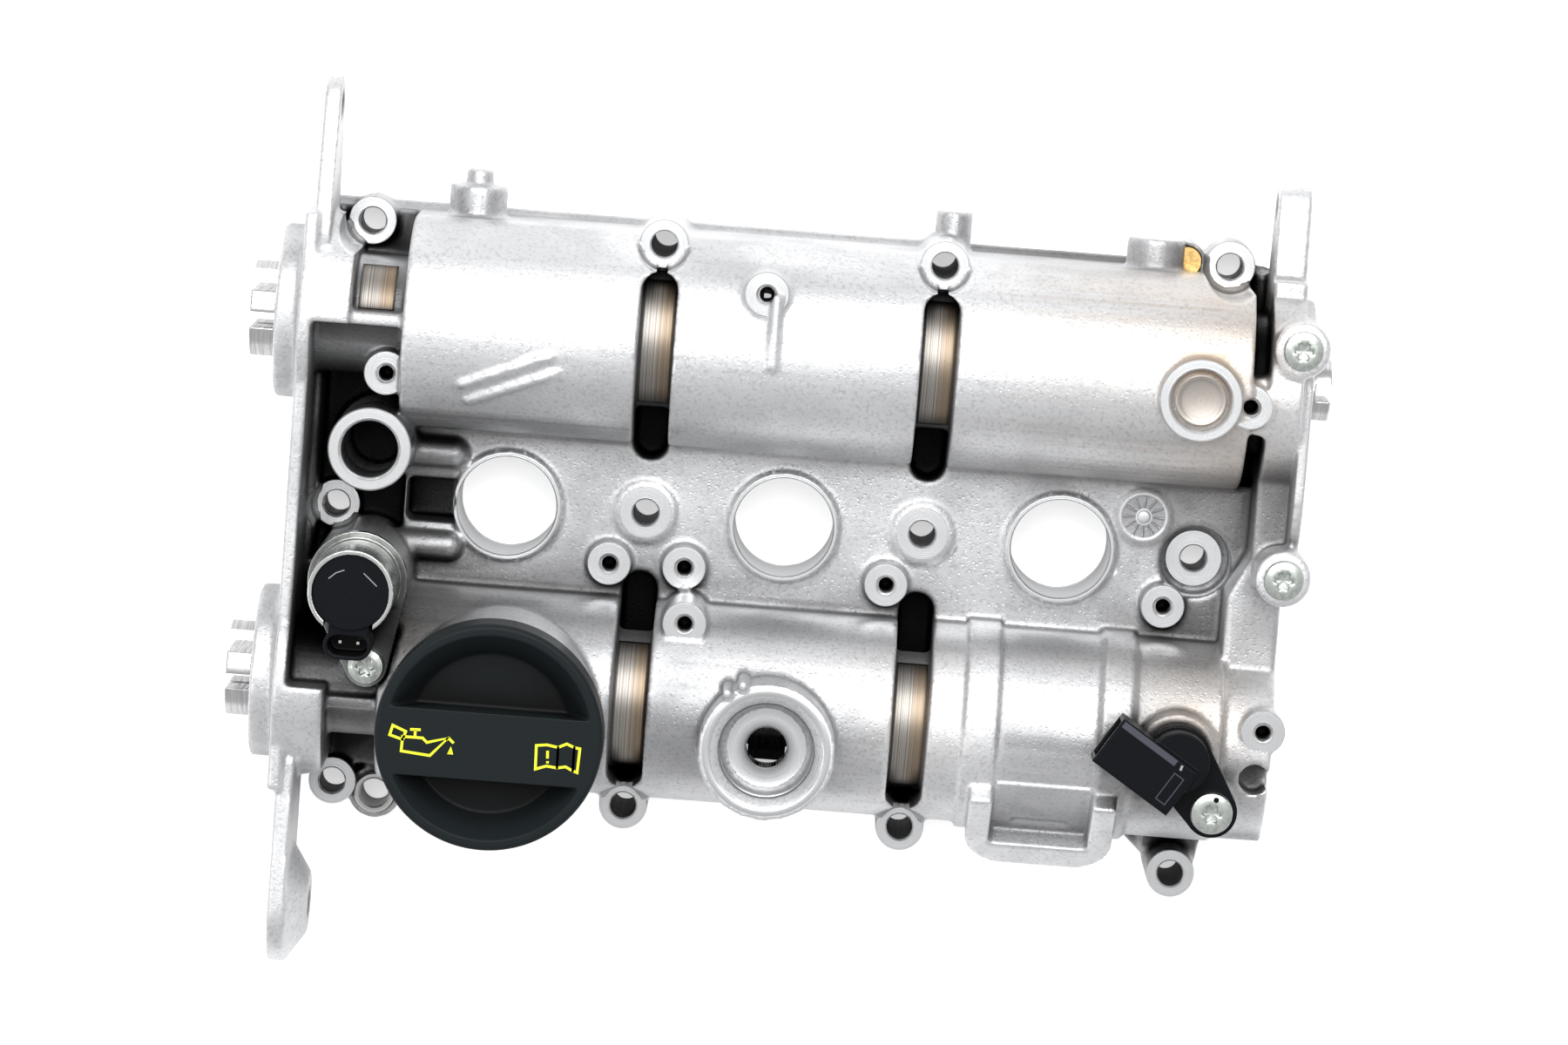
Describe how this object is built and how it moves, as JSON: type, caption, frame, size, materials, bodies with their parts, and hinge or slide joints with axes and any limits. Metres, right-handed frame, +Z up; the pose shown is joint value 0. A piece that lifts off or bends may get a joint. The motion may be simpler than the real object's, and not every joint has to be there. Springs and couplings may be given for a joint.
{
  "type": "engine valve cover",
  "caption": "Cast engine valve cover that carries two camshafts, with open coil wells, an oil filler cap, a solenoid valve and a position sensor.",
  "frame": {"origin": "axis of the middle coil well, on the gasket face", "axes": "+X along the camshafts away from the timing end, +Y towards the exhaust camshaft, +Z up from the gasket face"},
  "size_m": [0.3165, 0.2625, 0.106],
  "materials": {
    "cast_aluminium": "sand-blasted die casting",
    "ground_steel": "ground, lightly oiled",
    "bright_steel": "bright drawn",
    "core_plug_steel": "dull plated",
    "screw_steel": "zinc plated",
    "pin_metal": "tinned",
    "brass": "dull",
    "seal_rubber": "matt",
    "black_plastic": "glass-filled, slightly satin",
    "cap_plastic": "fine-grained satin"
  },
  "bodies": {
    "cover": {"cover_casting": "cast_aluminium", "intake_timing_seal": "seal_rubber", "exhaust_timing_seal": "seal_rubber", "output_seal": "seal_rubber", "end_plug": "bright_steel", "core_plug": "core_plug_steel", "brass_plug": "brass", "locating_sleeve": "bright_steel", "valve_can": "bright_steel", "valve_cap": "black_plastic", "valve_pins": "pin_metal", "valve_o_ring": "seal_rubber", "valve_screw": "screw_steel", "sensor_body": "black_plastic", "sensor_pins": "pin_metal", "sensor_o_ring": "seal_rubber", "sensor_screw": "screw_steel", "gallery_screws": "screw_steel"},
    "intake_camshaft": {"intake_drive_end": "ground_steel", "intake_tube": "ground_steel", "intake_journals": "ground_steel", "target_wheel": "ground_steel", "pump_cam": "ground_steel", "intake_lobe_1": "ground_steel", "intake_lobe_2": "ground_steel", "intake_lobe_3": "ground_steel", "intake_lobe_4": "ground_steel", "intake_lobe_5": "ground_steel", "intake_lobe_6": "ground_steel"},
    "exhaust_camshaft": {"exhaust_drive_end": "ground_steel", "exhaust_tube": "ground_steel", "exhaust_journals": "ground_steel", "exhaust_output_end": "ground_steel", "exhaust_lobe_1": "ground_steel", "exhaust_lobe_2": "ground_steel", "exhaust_lobe_3": "ground_steel", "exhaust_lobe_4": "ground_steel", "exhaust_lobe_5": "ground_steel", "exhaust_lobe_6": "ground_steel"},
    "cap_carrier": {"cap_seal": "seal_rubber"},
    "filler_cap": {"cap_grip": "cap_plastic", "cap_plug": "cap_plastic"}
  },
  "joints": [
    {"name": "intake_cam_spin", "type": "hinge", "parent": "cover", "child": "intake_camshaft", "pos_m": [0, -0.0535, 0.032], "axis": [1, 0, 0], "continuous": true},
    {"name": "exhaust_cam_spin", "type": "hinge", "parent": "cover", "child": "exhaust_camshaft", "pos_m": [0, 0.0535, 0.032], "axis": [1, 0, 0], "continuous": true},
    {"name": "cap_lift", "type": "slide", "parent": "cover", "child": "cap_carrier", "axis": [0, 0, 1], "range_m": [0, 0.012]},
    {"name": "cap_turn", "type": "hinge", "parent": "cap_carrier", "child": "filler_cap", "pos_m": [-0.079, -0.057, 0.098], "axis": [0, 0, 1], "range_deg": [0, 270]}
  ],
  "couplings": [
    {"joint": "cap_lift", "follows": "cap_turn", "m_per_rad": 0.0025465}
  ]
}
